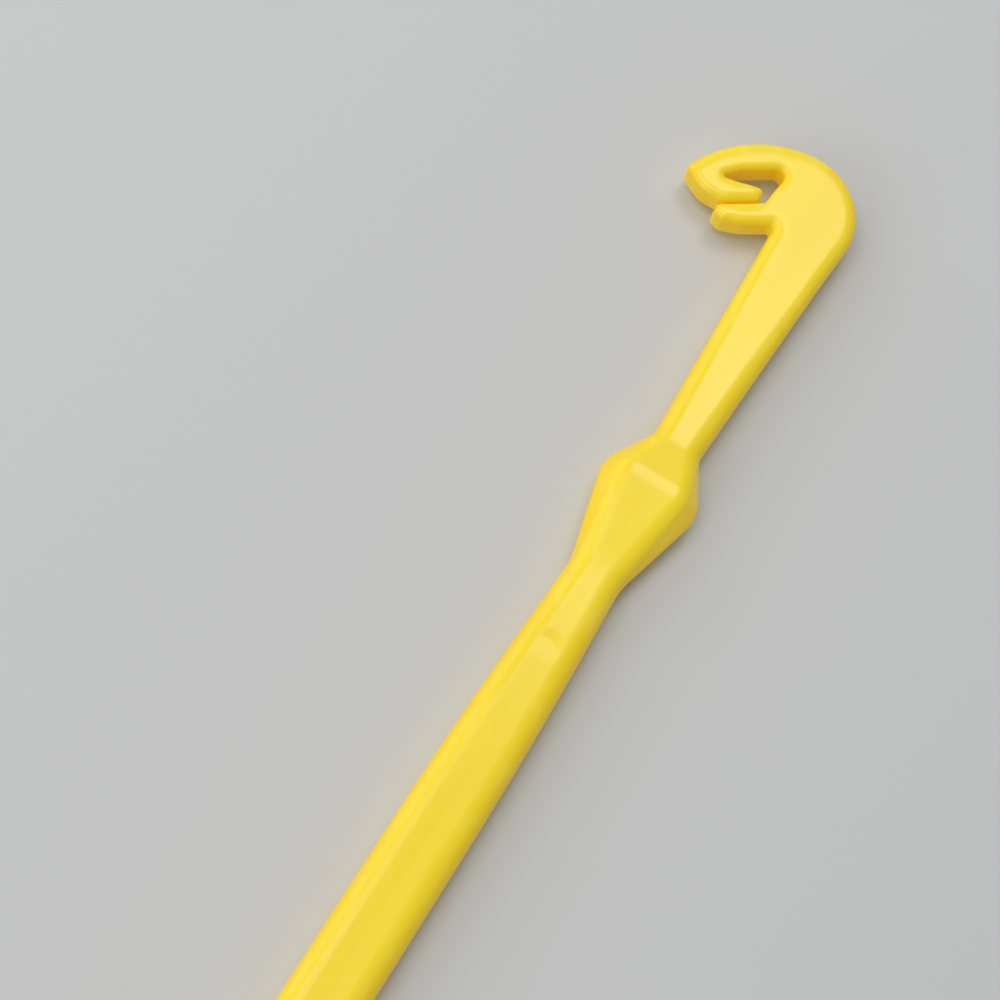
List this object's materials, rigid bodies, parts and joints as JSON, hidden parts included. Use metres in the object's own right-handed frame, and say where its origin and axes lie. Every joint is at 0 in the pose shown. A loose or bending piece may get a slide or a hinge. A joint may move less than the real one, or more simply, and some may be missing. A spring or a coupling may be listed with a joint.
{
  "type": "hook and loop tyer",
  "caption": "Slim plastic hand tool for tying fishing hooks and loops: curved hook head with a slit and an eye, tapered shank, faceted finger grip and flat handle.",
  "frame": {"origin": "centre of the lanyard hole in the handle's tail, half way through the thickness, on the parting plane", "axes": "+Y along the tool from the tail to the hook head, +Z out of the front face, +X to the side away from the beak"},
  "size_m": [0.0195, 0.1599, 0.0048],
  "materials": {
    "yellow_plastic": "glossy injection-moulded"
  },
  "bodies": {
    "root": {"handle_end": "yellow_plastic", "handle_blade": "yellow_plastic", "handle_neck": "yellow_plastic", "grip_lower_taper": "yellow_plastic", "grip_upper_taper": "yellow_plastic", "shank": "yellow_plastic", "head_throat": "yellow_plastic", "hook_bow": "yellow_plastic", "hook_beak": "yellow_plastic", "upper_tongue": "yellow_plastic", "lower_tongue": "yellow_plastic"}
  },
  "joints": []
}
